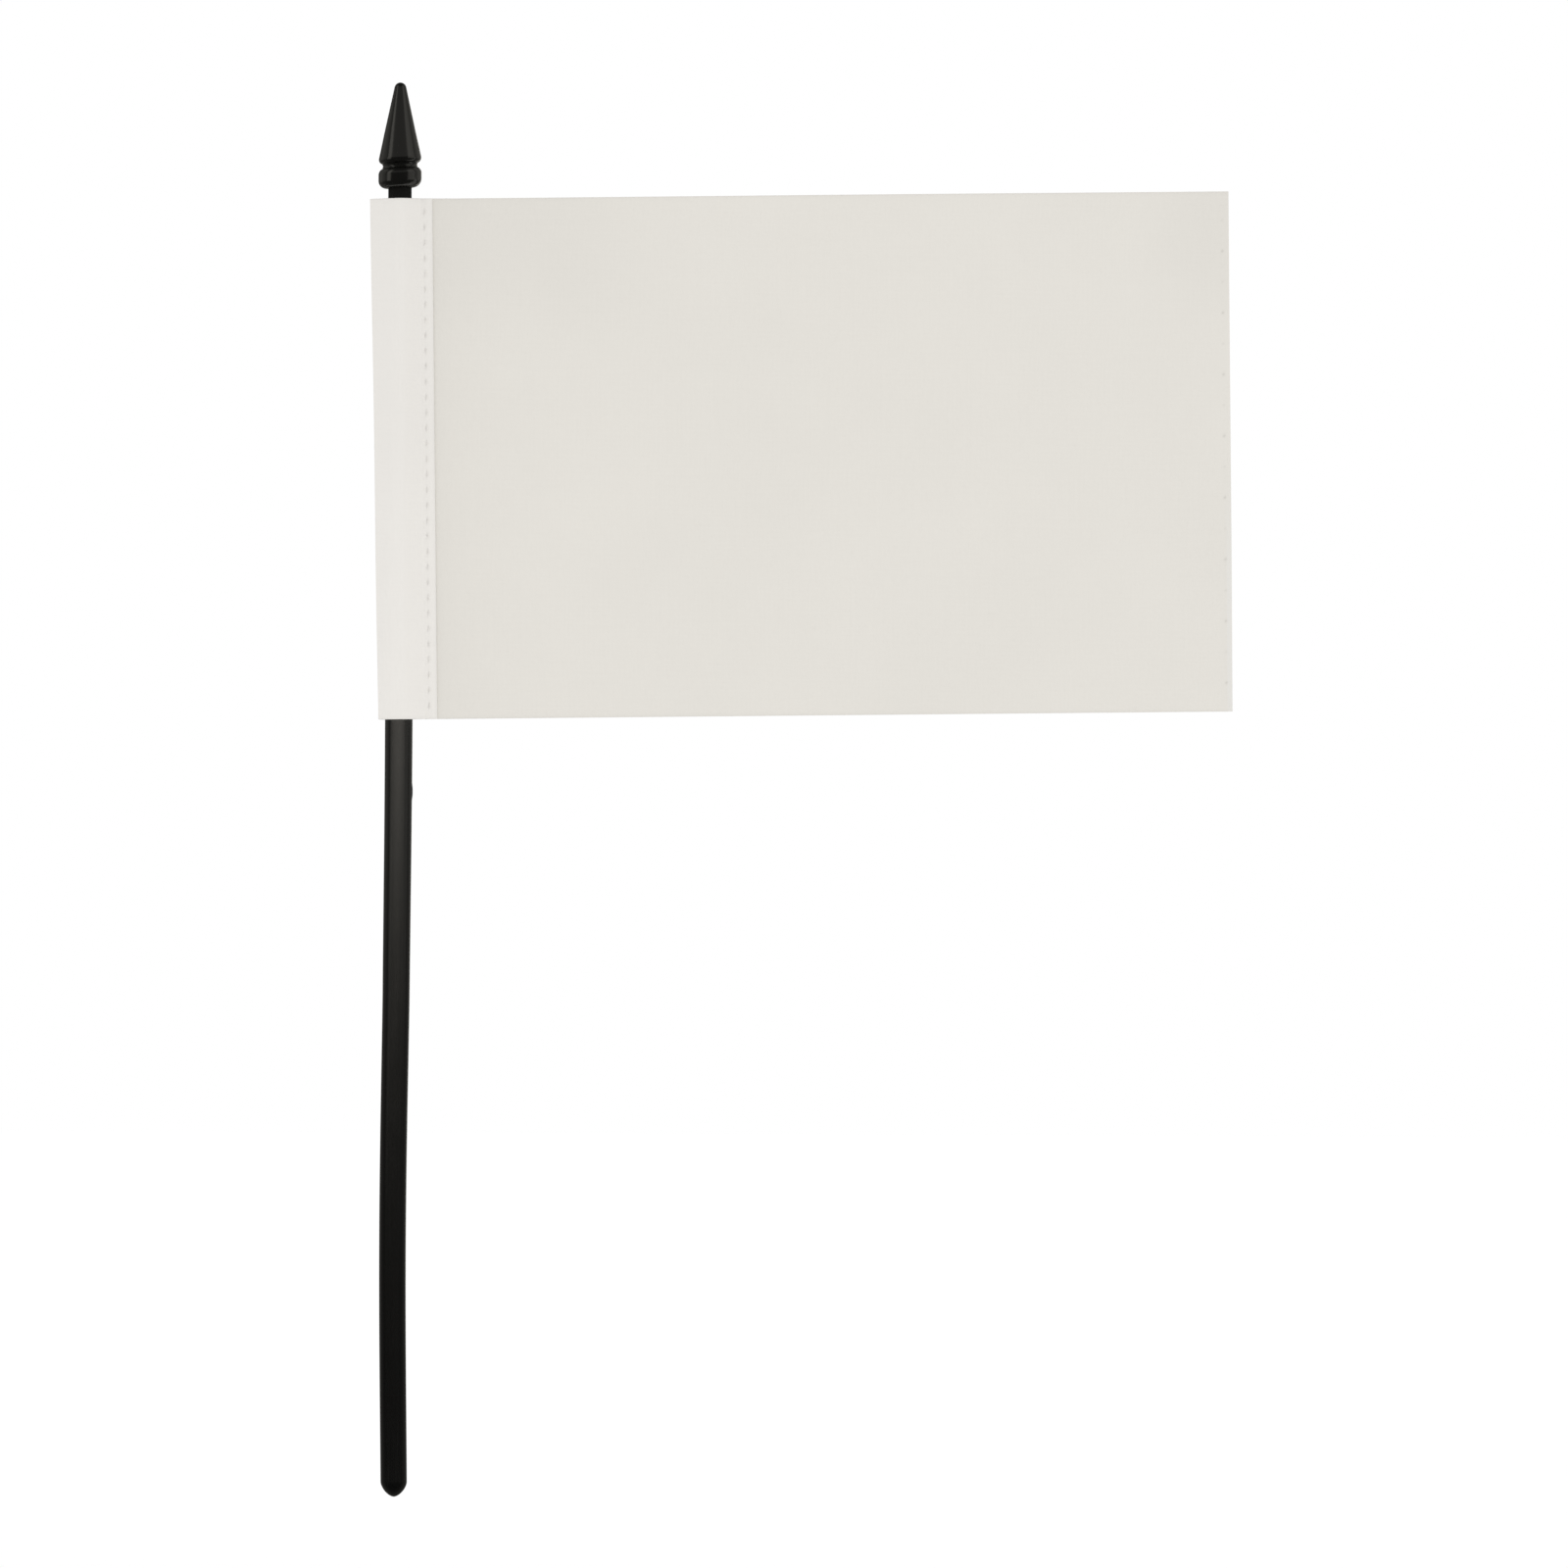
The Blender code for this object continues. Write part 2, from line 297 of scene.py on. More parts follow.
def pole_material():
    """Satin black moulded plastic: a fine grain, faint lengthwise rubbing, a scuffed foot and
    a neck as dull as it left the mould."""
    material, tree, shader = new_material("satin_black_plastic")
    place = add_node(tree, "ShaderNodeTexCoord").outputs["Object"]
    grain = noise(tree, place, 5200.0, 2.0, 0.6)
    rubbed = noise(tree, stretched(tree, place, (5200.0, 5200.0, 70.0)), 1.0, 3.0, 0.6)
    cloudy = noise(tree, place, 160.0, 3.0)
    shade = blended(tree, rubbed, (0.0005, 0.0005, 0.0005, 1.0), (0.0012, 0.0012, 0.0012, 1.0))
    height = add_node(tree, "ShaderNodeSeparateXYZ", {"Vector": place}).outputs["Z"]
    near_foot = ranged(tree, height, 22.0 * MM, 2.0 * MM, 0.0, 0.4)
    on_neck = ranged(tree, height, NECK_START_Z - 3.0 * MM, NECK_START_Z, 0.0, 0.68)
    scuffed = maths(tree, "MULTIPLY", near_foot, maths(tree, "POWER", rubbed, 3.0))
    shade = blended(tree, scuffed, shade, (0.010, 0.010, 0.010, 1.0))
    tree.links.new(shade, shader.inputs["Base Color"])
    rough = maths(tree, "MULTIPLY_ADD", cloudy, 0.05, 0.21)
    rough = maths(tree, "MULTIPLY_ADD", rubbed, 0.05, rough)
    rough = maths(tree, "MULTIPLY_ADD", scuffed, 0.4, rough)
    rough = maths(tree, "ADD", rough, on_neck)
    tree.links.new(rough, shader.inputs["Roughness"])
    relief = maths(tree, "MULTIPLY_ADD", grain, 0.6, maths(tree, "MULTIPLY", rubbed, 0.7))
    bump = add_node(
        tree, "ShaderNodeBump", {"Strength": 0.3, "Distance": 0.012 * MM, "Height": relief}
    )
    tree.links.new(bump.outputs["Normal"], shader.inputs["Normal"])
    shader.inputs["IOR"].default_value = 1.49
    return material


def finial_material():
    """Glossy black moulded plastic, with the slight waviness of a moulded skin."""
    material, tree, shader = new_material("gloss_black_plastic")
    place = add_node(tree, "ShaderNodeTexCoord").outputs["Object"]
    wavy = noise(tree, place, 420.0, 2.0)
    hazed = noise(tree, place, 900.0, 4.0, 0.65)
    shade = blended(tree, hazed, (0.0034, 0.0033, 0.0028, 1.0), (0.0048, 0.0047, 0.0040, 1.0))
    tree.links.new(shade, shader.inputs["Base Color"])
    rough = maths(tree, "MULTIPLY_ADD", hazed, 0.10, 0.13)
    tree.links.new(rough, shader.inputs["Roughness"])
    bump = add_node(
        tree, "ShaderNodeBump", {"Strength": 0.3, "Distance": 0.02 * MM, "Height": wavy}
    )
    tree.links.new(bump.outputs["Normal"], shader.inputs["Normal"])
    shader.inputs["IOR"].default_value = 1.52
    return material


# ---------------------------------------------------------------- mesh helpers


def mesh_piece(name, points, faces, materials, body, face_materials=None):
    """A smooth-shaded mesh piece that rides on a body."""
    mesh = bpy.data.meshes.new(name)
    mesh.from_pydata([tuple(point) for point in points], [], faces)
    for material in materials:
        mesh.materials.append(material)
    if face_materials is not None:
        mesh.polygons.foreach_set("material_index", face_materials)
    mesh.shade_smooth()
    mesh.update()
    piece = bpy.data.objects.new(name, mesh)
    bpy.context.scene.collection.objects.link(piece)
    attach(piece, body)
    return piece


def set_attribute(piece, name, kind, values):
    """Stores one value for each vertex, for the materials to read."""
    attribute = piece.data.attributes.new(name, kind, "POINT")
    field = "vector" if kind == "FLOAT_VECTOR" else "value"
    attribute.data.foreach_set(field, np.asarray(values, np.float32).ravel())


def to_frame(x, y, z):
    """Points of the flag's own frame in the row frame: tilted about Y, then raised."""
    sine, cosine = math.sin(FLAG_TILT), math.cos(FLAG_TILT)
    points = (x * cosine - z * sine, y, x * sine + z * cosine + FLAG["middle_z"])
    return np.stack(np.broadcast_arrays(*points), axis=-1)


def arc(centre_x, centre_z, radius, start_deg, end_deg, steps):
    """Points on an arc, from one angle to another."""
    angles = np.radians(np.linspace(start_deg, end_deg, steps + 1))
    return [(centre_x + radius * math.cos(a), centre_z + radius * math.sin(a)) for a in angles]


def smoothstep(value, low, high):
    """0 at low and 1 at high, smoothly between. Low may be above high."""
    share = np.clip((value - low) / (high - low), 0.0, 1.0)
    return share * share * (3.0 - 2.0 * share)


# ---------------------------------------------------------------- pole and finial


def turned_angles(steps, parting):
    """Angles round a turned piece, closer together on the mould's parting line at +X and -X."""
    full_turn = 2 * math.pi
    angles = set(np.round(np.linspace(0.0, full_turn, steps, endpoint=False), 6))
    for centre in (0.0, math.pi):
        for step in parting:
            angles |= {round((centre + side * step) % full_turn, 6) for side in (-1, 1)}
    return np.array(sorted(angles))


def turned(name, profile, angles, extra_radius, shift_x, slope, material, body):
    """A turned piece whose profile runs down from its top on the axis to its foot on the axis.

    extra_radius(angles, z) adds marks to the profile, shift_x(z) moves each ring sideways, and
    slope(z) tips it up to the right.
    """
    inner = np.array(profile[1:-1])
    radius, height = inner[:, :1], inner[:, 1:]
    radius = radius + extra_radius(angles[None, :], height)
    x = radius * np.cos(angles) + shift_x(height)
    y = radius * np.sin(angles)
    z = height + slope(height) * x
    points = np.stack([x, y, z], axis=-1).reshape(-1, 3)
    rings, count = x.shape
    ends = [(float(shift_x(z_end)), 0.0, z_end) for z_end in (profile[0][1], profile[-1][1])]
    faces = []
    for ring in range(rings - 1):
        for step in range(count):
            following = (step + 1) % count
            here, below = ring * count, (ring + 1) * count
            faces.append((here + step, below + step, below + following, here + following))
    top, foot, last = rings * count, rings * count + 1, (rings - 1) * count
    for step in range(count):
        following = (step + 1) % count
        faces.append((top, step, following))
        faces.append((foot, last + following, last + step))
    return mesh_piece(name, list(points) + ends, faces, [material], body)


def pole_radius(z):
    """The pole is widest near its middle and thins to its neck and a little to its foot."""
    heights = (0.0, POLE_WIDEST_Z, NECK_START_Z)
    return np.interp(z, heights, (POLE_FOOT_RADIUS, POLE_WIDEST_RADIUS, NECK_RADIUS))


def pole_bow(z):
    """The moulded pole isn't quite straight: it bows to one side low down, and back above."""
    z = np.asarray(z, float)
    up_low_part = np.clip(z / BOW_CROSSES_Z, 0.0, 1.0)
    up_high_part = np.clip((z - BOW_CROSSES_Z) / (BOW_ENDS_Z - BOW_CROSSES_Z), 0.0, 1.0)
    low = LOW_BOW * np.sin(math.pi * up_low_part) ** 1.2
    high = HIGH_BOW * np.sin(math.pi * up_high_part) ** 1.2
    return low + high


def parting_line(angles, width, height):
    """How far the seam of the two mould halves stands proud, at +X and -X."""
    from_line = np.abs(np.sin(angles)) / width
    return height * np.exp(-(from_line**2))


def pole_marks(angles, z):
    """The parting line, and the trimmed stub of the gate on its right side."""
    from_side = np.abs(np.angle(np.exp(1j * angles)))
    around = np.exp(-((from_side / 0.13) ** 4))
    along = np.exp(-(((z - GATE_MARK_Z) / GATE_MARK_REACH) ** 6))
    above_foot = smoothstep(z, 0.4 * MM, 3.0 * MM)
    line = above_foot * parting_line(angles, 0.035, PARTING_HEIGHT)
    return line + GATE_MARK_HEIGHT * around * along


def level(z):
    """Nothing at any height: a piece that stays on its axis, or square to it."""
    return 0.0 * np.asarray(z, float)


def make_pole():
    """The pole from its chamfered top, down its neck and shaft, to its blunt foot."""
    foot = []
    for height in np.linspace(1.0, 0.0, 24) ** 1.5:
        fullness = (1.0 - (1.0 - height) ** FOOT_ROUNDING) ** FOOT_FULLNESS
        foot.append((POLE_FOOT_RADIUS * fullness, FOOT_LENGTH * height))
    heights = np.arange(NECK_START_Z, FOOT_LENGTH, -0.6 * MM)
    shaft = [(float(pole_radius(z)), float(z)) for z in heights]
    neck_heights = np.linspace(POLE_TOP_Z - NECK_CHAMFER, NECK_START_Z, 12)[:-1]
    neck = [(NECK_RADIUS, z) for z in neck_heights]
    top = [(0.0, POLE_TOP_Z), (NECK_RADIUS - NECK_CHAMFER, POLE_TOP_Z)]
    angles = turned_angles(96, (0.012, 0.024, 0.04, 0.09, 0.11, 0.13, 0.16))
    pole = turned(
        "pole_rod", top + neck + shaft + foot, angles, pole_marks, pole_bow, level,
        pole_material(), "pole",
    )
    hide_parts("pole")
    return pole


def finial_profile():
    """The cone with its round tip and edge, the groove, the collar and the socket below."""
    half_angle = 12.2
    tip_radius = 1.15 * MM
    collar_low, collar_top = 256.0 * MM, 257.1 * MM
    low_round, top_round = collar_low - FINIAL_BASE_Z, 1.3 * MM
    edge_x, edge_z, edge_round = 3.12 * MM, 260.1 * MM, 1.0 * MM
    groove_x, groove_z, groove_round = 3.50 * MM, 258.74 * MM, 0.2 * MM
    lip = 0.18 * MM
    socket_radius = NECK_RADIUS + 0.15 * MM
    socket_end = POLE_TOP_Z + 0.3 * MM
    tip = arc(0.0, FINIAL_TIP_Z - tip_radius, tip_radius, 90.0, half_angle, 14)
    edge = arc(edge_x, edge_z, edge_round, half_angle, -72.0, 14)
    cone_top, cone_foot = np.array(tip[-1]), np.array(edge[0])
    shares = np.linspace(0.0, 1.0, 26)[1:-1]
    cone = [tuple(cone_top + share * (cone_foot - cone_top)) for share in shares]
    groove = arc(groove_x, groove_z, groove_round, 120.0, 240.0, 8)
    top = arc(COLLAR_RADIUS - top_round, collar_top, top_round, 68.0, 0.0, 12)
    low = arc(COLLAR_RADIUS - low_round, collar_low, low_round, 0.0, -90.0, 14)
    mouth = arc(socket_radius + lip, FINIAL_BASE_Z + lip, lip, 270.0, 180.0, 5)
    band = [(COLLAR_RADIUS, z) for z in np.linspace(collar_top, collar_low, 5)[1:-1]]
    socket = [(socket_radius, z) for z in np.linspace(FINIAL_BASE_Z + lip, socket_end, 8)[1:]]
    return tip + cone + edge + groove + top + band + low + mouth + socket + [(0.0, socket_end)]


def make_finial():
    """The turned finial with its parting lines. Its groove and collar sit a little askew."""
    angles = turned_angles(120, (0.01, 0.02, 0.035))

    def marks(angles, z):
        shown = smoothstep(z, FINIAL_BASE_Z, FINIAL_BASE_Z + 1.0 * MM)
        return shown * parting_line(angles, 0.022, 0.012 * MM)

    def slope(z):
        return COLLAR_SLOPE * smoothstep(z, COLLAR_SLOPE_TO_Z, COLLAR_SLOPE_FROM_Z)

    finial = turned(
        "spear_finial", finial_profile(), angles, marks, level, slope, finial_material(),
        "finial",
    )
    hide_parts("finial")


# ---------------------------------------------------------------- cloth


def from_stitch(z):
    """Each height's distance from the nearest needle hole. Past the ends of the row it grows."""
    nearest = np.clip(np.round(z / STITCH), -(STITCH_COUNT // 2), STITCH_COUNT // 2)
    return z - nearest * STITCH


def drape(x, z):
    """How far the hanging cloth wanders out of its plane: nothing at the seam, more at the fly."""
    out = np.clip((x - SEAM_X) / (FLAG["fly_x"] - SEAM_X), 0.0, 1.1)
    up = z / HALF_HOIST
    slow = 0.80 * MM * out**1.5 * np.sin(2 * math.pi * (0.95 * out + 0.12 * up) + 0.9)
    cross = 0.45 * MM * out * np.sin(2 * math.pi * (0.42 * up - 0.5 * out) + 2.1)
    corners = 0.9 * MM * out**5 * (smoothstep(-up, 0.3, 1.0) - 0.6 * smoothstep(up, 0.2, 1.0))
    past_seam = np.clip(x - SEAM_X - 0.6 * MM, 0.0, None)
    settled = FLY_SETBACK * (1.0 - np.exp(-past_seam / FLY_SETTLE))
    return slow + cross + corners + settled


def needle_dimple(x, z, seam_x):
    """1 at a needle hole, falling to 0 within a millimetre. On the hem only some of them show."""
    on_hem = seam_x == HEM_X
    reach_x, reach_z = HEM_HOLE_REACH if on_hem else SLEEVE_HOLE_REACH
    shape = np.exp(-(((x - seam_x) / reach_x) ** 2) - (from_stitch(z) / reach_z) ** 2)
    if not on_hem:
        return shape
    turn = np.round(z / STITCH).astype(int) % len(HEM_HOLE_STRENGTHS)
    return shape * np.take(HEM_HOLE_STRENGTHS, turn)


def pucker(x, z, seam_x):
    """1 on the row between two holes, where the cloth swells, and less away from the row."""
    swell = 0.5 - 0.5 * np.cos(2 * math.pi * z / STITCH)
    return swell * np.exp(-np.abs(x - seam_x) / (0.9 * MM))


def sleeve_points(z):
    """The sleeve in plan at one height, as (x, y): round the pole, with its fold at -X.

    It is an arc round the pole's front, a small arc at the fold and an arc round the pole's back,
    joined by straight runs and then smoothed, because cloth takes no sharp turns.
    """
    pole_x = z * math.tan(FLAG_TILT)
    world_z = z + FLAG["middle_z"]
    wrap = float(pole_radius(world_z) + abs(pole_bow(world_z))) + SLEEVE_SLACK + CLOTH / 2
    wrap += 0.05 * MM * math.sin(z / (9.0 * MM)) + 0.04 * MM * math.sin(z / (4.1 * MM) + 1.0)
    fold_x = FLAG["fold_x"] + CLOTH / 2 - FOLD_EASE - FOLD_SKEW * z / HALF_HOIST
    fold_x += 0.05 * MM * math.sin(z / (11.0 * MM) + 0.7)
    nose_x = fold_x + FOLD_RADIUS
    lean = math.degrees(math.acos((FOLD_RADIUS - wrap) / (pole_x - nose_x)))
    start_x = SEAM_X - SEAM_LEAD
    out = start_x - pole_x
    front = math.degrees(math.atan2(LAYER, out) + math.acos(wrap / math.hypot(out, LAYER)))
    back = math.degrees(math.acos(wrap / out))
    bends = [
        [(start_x, -LAYER)],
        arc(pole_x, 0.0, wrap, -front, -lean, 14),
        arc(nose_x, 0.0, FOLD_RADIUS, -lean, lean - 360.0, 8),
        arc(pole_x, 0.0, wrap, lean, back, 14),
        [(start_x, 0.0)],
    ]
    points = [bends[0][0]]
    for bend in bends[1:]:
        first, last = np.array(points[-1]), np.array(bend[0])
        points += [tuple(first + (last - first) * share) for share in np.linspace(0, 1, 11)[1:-1]]
        points += bend
    points = np.array(points)
    for _ in range(SLEEVE_SMOOTHINGS):
        points[1:-1] = 0.25 * points[:-2] + 0.5 * points[1:-1] + 0.25 * points[2:]
    return points


def spaced(start, end, spacing):
    """Places from start to end, evenly spaced."""
    return np.linspace(start, end, max(2, int(round(abs(end - start) / spacing)) + 1))


def cloth_columns(z):
    """One row of the cloth as (x, y), from the flap's edge round the sleeve to the hem's edge."""
    flap_edge = SEAM_X + FLAP_PAST_SEAM
    start_x = SEAM_X - SEAM_LEAD
    past_flap = flap_edge + 1.4 * MM
    inner_flap = spaced(flap_edge - 0.4 * MM, start_x, 0.14 * MM)
    flap = np.concatenate([flap_edge - RIM_DISTANCES, inner_flap])
    lift = FLAP_LIFT * smoothstep(flap, SEAM_X + 0.3 * MM, flap_edge)
    fold = LAYER / 2
    fly_end = FLAG["fly_x"] + FLY_EASE + FLY_SKEW * z / HALF_HOIST
    fold_x = fly_end - fold - CLOTH / 2
    hem_edge = fly_end - HEM_WIDTH
    before_hem = hem_edge - 1.0 * MM
    fly = np.concatenate([
        spaced(start_x, past_flap, FLAP_STEP)[1:],
        spaced(past_flap, before_hem, FLY_STEP)[1:],
        spaced(before_hem, fold_x, SEWN_STEP)[1:],
    ])
    turn = np.array(arc(fold_x, fold, fold, -90.0, 90.0, 8))[1:-1]
    inner_hem = spaced(fold_x, hem_edge + 0.4 * MM, SEWN_STEP)
    back = np.concatenate([inner_hem, hem_edge + RIM_DISTANCES[::-1]])
    parts = [
        np.stack([flap, -LAYER - lift], axis=1),
        sleeve_points(z)[1:-1],
        np.stack([fly, 0.0 * fly], axis=1),
        turn,
        np.stack([back, LAYER + 0.0 * back], axis=1),
    ]
    layers = [np.full(len(part), index) for index, part in enumerate(parts)]
    return np.concatenate(parts), np.concatenate(layers)


def sewn_in(x, y, z, layer):
    """The cloth with its stitches pulled tight: dimples at the holes, swellings between them."""
    for seam_x, folded, inward in ((SEAM_X, FLAP, 1.0), (HEM_X, HEM, -1.0)):
        hole = needle_dimple(x, z, seam_x)
        swell = pucker(x, z, seam_x)
        close = np.abs(x - seam_x) < 3.0 * MM
        on_folded = close & (layer == folded)
        on_fly = close & (layer == FLY)
        y = y + on_folded * inward * (FOLDED_DIMPLE * hole + FOLDED_SWELL * swell)
        y = y + on_fly * inward * (FLY_DIMPLE * hole + FLY_SWELL * swell)
    return y


def cloth_grid():
    """Rows of points on the middle of the cloth, with each point's layer and place on the cut."""
    inner = spaced(-HALF_HOIST + ROW_STEP, HALF_HOIST - ROW_STEP, ROW_STEP)
    upper_rim = HALF_HOIST - RIM_DISTANCES[::-1]
    heights = np.concatenate([-HALF_HOIST + RIM_DISTANCES, inner, upper_rim])
    rows = [cloth_columns(z) for z in heights]
    plan = np.array([row[0] for row in rows])
    layer = np.array([row[1] for row in rows])
    x, z = plan[:, :, 0], np.broadcast_to(heights[:, None], plan.shape[:2])
    steps = np.linalg.norm(np.diff(plan, axis=1), axis=2)
    along = np.concatenate([np.zeros((len(heights), 1)), np.cumsum(steps, axis=1)], axis=1)
    y = sewn_in(x, plan[:, :, 1], z, layer) + drape(x, z)
    return x, y, z, along, layer


def grid_normals(points):
    """The unit normal at each point of a grid. On the fly it points to the front, -Y."""
    along = np.gradient(points, axis=1)
    up = np.gradient(points, axis=0)
    normal = np.cross(along, up)
    return normal / np.linalg.norm(normal, axis=-1, keepdims=True)


def rim_profile(distance):
    """The cloth's share of its thickness near a cut edge: rounded, with a slight fused bead."""
    rounded = np.sqrt(np.clip(1.0 - (1.0 - distance / (0.10 * MM)).clip(0.0) ** 2, 0.06, 1.0))
    bead = 1.0 + 0.28 * np.exp(-(((distance - 0.12 * MM) / (0.12 * MM)) ** 2))
    return rounded * bead


def fly_painted_shade(x, z):
    """Painted shade on the fly's face: a painted shadow beside the flap, and darker upper corners."""
    past_flap = np.clip(x - SEAM_X - FLAP_PAST_SEAM, 0.0, None)
    near_flap = smoothstep(past_flap, 52.0 * MM, 18.0 * MM)
    near_fly_end = smoothstep(x, FLAG["fly_x"] - 20.0 * MM, FLAG["fly_x"] - 4.0 * MM)
    # Painted shade: the fly's upper corners darker, more towards the top
    upper = smoothstep(z, 0.35 * HALF_HOIST, 0.75 * HALF_HOIST)
    flap_painted_shadow = BESIDE_FLAP_PAINTED_SHADOW * np.exp(-past_flap / (4.5 * MM))
    return flap_painted_shadow + UPPER_CORNER_PAINTED_SHADE * upper * np.maximum(near_flap, near_fly_end)


def sheet_faces(rows, columns):
    """The quads of a thick sheet, and which of them show its reverse.

    Its points are a grid for its face and then the same grid for its reverse, and quads round
    its four edges join the two.
    """
    face = np.arange(rows * columns).reshape(rows, columns)
    quads = [face[:-1, :-1], face[:-1, 1:], face[1:, 1:], face[1:, :-1]]
    front = np.stack(quads, axis=-1).reshape(-1, 4)
    back = front[:, ::-1] + rows * columns
    loop = np.concatenate([face[0, :-1], face[:-1, -1], face[-1, :0:-1], face[:0:-1, 0]])
    ahead = np.roll(loop, -1)
    rims = np.stack([ahead, loop, loop + rows * columns, ahead + rows * columns], axis=-1)
    is_reverse = np.concatenate([np.zeros(len(front)), np.ones(len(back)), np.zeros(len(rims))])
    return np.concatenate([front, back, rims]), is_reverse.astype(np.int32)


def shade_cloth(cloth, x, z, along, layer, from_cut):
    """Stores what the cloth's materials read, for the points of its face and of its reverse."""
    place = np.stack([along, z, 0.0 * z], axis=-1).reshape(-1, 3)
    fused = np.exp(-from_cut / FUSED_REACH).ravel()
    # Painted shade: the cloth darker in and round the needle holes, where their shadow falls
    hole_painted_shade = NEEDLE_HOLE_PAINTED_SHADE * needle_dimple(x, z, SEAM_X) + HEM_HOLE_PAINTED_SHADE * needle_dimple(x, z, HEM_X)
    face_painted_shade = hole_painted_shade + (layer == FLY) * fly_painted_shade(x, z)
    # Painted shade up the sleeve and flap, darker towards the top
    reverse_painted_shade = hole_painted_shade + (layer <= SLEEVE) * SLEEVE_PAINTED_SHADE * (0.5 + 0.5 * z / HALF_HOIST)
    # Painted light: the hem strip past its stitches lighter in its lower half
    past_stitches = smoothstep(x, HEM_X + 0.1 * MM, HEM_X + 0.3 * MM)
    hem_painted_light_share = (past_stitches * smoothstep(-z, 0.0, 0.6 * HALF_HOIST)).ravel()
    set_attribute(cloth, "weave", "FLOAT_VECTOR", np.concatenate([place, place]))
    set_attribute(cloth, "fused", "FLOAT", np.concatenate([fused, fused]))
    painted_shade = np.concatenate([face_painted_shade.ravel(), reverse_painted_shade.ravel()])
    set_attribute(cloth, "painted_shade", "FLOAT", painted_shade)
    set_attribute(cloth, "hem_painted_light", "FLOAT", np.concatenate([hem_painted_light_share, hem_painted_light_share]))


def make_cloth():
    """The flag as one thick sheet, from the flap round the sleeve and along the fly to the hem."""
    x, y, z, along, layer = cloth_grid()
    middle = to_frame(x, y, z)
    normal = grid_normals(middle)
    from_cut = np.minimum(HALF_HOIST - np.abs(z), np.minimum(along, along[:, -1:] - along))
    holes = needle_dimple(x, z, SEAM_X) + needle_dimple(x, z, HEM_X)
    half = (CLOTH / 2 * rim_profile(from_cut) * (1.0 - THINNED_AT_HOLES * holes))[:, :, None]
    face_side = (middle + normal * half).reshape(-1, 3)
    reverse_side = (middle - normal * half).reshape(-1, 3)
    faces, is_reverse = sheet_faces(*x.shape)
    materials = [
        cloth_material("flag_cloth_face", (0.766, 0.741, 0.690)),
        cloth_material("flag_cloth_reverse", (0.826, 0.802, 0.764)),
    ]
    cloth = mesh_piece(
        "flag_sheet", np.concatenate([face_side, reverse_side]), faces.tolist(), materials,
        "flag", is_reverse,
    )
    shade_cloth(cloth, x, z, along, layer, from_cut)
    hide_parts("flag_cloth")
    return cloth, float(along[len(along) // 2, -1])


# ---------------------------------------------------------------- stitches


def thread_route(seam_x, run_y, dip_y):
    """The line of one thread of a row: along the cloth, and down at each needle hole."""
    end = HALF_HOIST - 0.25 * MM
    z = spaced(-end, end, THREAD_STEP)
    sink = np.exp(-((from_stitch(z) / (0.30 * MM)) ** 4))
    swell = 0.5 - 0.5 * np.cos(2 * math.pi * z / STITCH)
    y = run_y(swell) * (1.0 - sink) + dip_y * sink
    x = seam_x + 0.05 * MM * np.sin(2 * math.pi * z / STITCH + 0.4) * (1.0 - sink)
    return np.stack([x, y + drape(x, z), z], axis=1)


def twisted(route, phase, sides=6):
    """One ply of a two-ply thread, as rings of a tube that winds about the thread's line."""
    tangent = np.gradient(route, axis=0)
    length = np.linalg.norm(tangent, axis=1)
    tangent /= length[:, None]
    across = np.array([1.0, 0.0, 0.0]) - tangent * tangent[:, :1]
    across /= np.linalg.norm(across, axis=1, keepdims=True)
    up = np.cross(tangent, across)
    wound = 2 * math.pi * np.cumsum(length) / THREAD_TWIST + phase
    offset = across * np.cos(wound)[:, None] + up * np.sin(wound)[:, None]
    centre = route + offset * THREAD_RADIUS * 0.48
    angles = np.linspace(0.0, 2 * math.pi, sides, endpoint=False) + 0.3
    cosines, sines = np.cos(angles)[None, :, None], np.sin(angles)[None, :, None]
    ring = across[:, None] * cosines + up[:, None] * sines
    return centre[:, None] + ring * THREAD_RADIUS * 0.58, np.cumsum(length)


def make_thread(name, node, seam_x, run_y, dip_y, material):
    """A two-ply sewing thread that lies on the cloth and sinks into each needle hole."""
    route = thread_route(seam_x, run_y, dip_y)
    points, faces, place = [], [], []
    for phase in (0.0, math.pi):
        rings, length = twisted(route, phase)
        count, sides = rings.shape[:2]
        base = sum(len(part) for part in points)
        index = base + np.arange(count * sides).reshape(count, sides)
        following = np.roll(index, -1, axis=1)
        quads = np.stack([index[:-1], following[:-1], following[1:], index[1:]], axis=-1)
        faces += quads.reshape(-1, 4).tolist()
        faces += [index[0, ::-1].tolist(), index[-1].tolist()]
        points.append(rings.reshape(-1, 3))
        around = np.broadcast_to(np.arange(sides) * THREAD_RADIUS, (count, sides))
        lengths = np.broadcast_to(length[:, None], (count, sides))
        place.append(np.stack([around, lengths, 0.0 * lengths], axis=-1).reshape(-1, 3))
    flat = np.concatenate(points)
    placed = to_frame(flat[:, 0], flat[:, 1], flat[:, 2])
    thread = mesh_piece(name, placed, faces, [material], "flag")
    set_attribute(thread, "weave", "FLOAT_VECTOR", np.concatenate(place))
    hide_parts(node)
    return thread


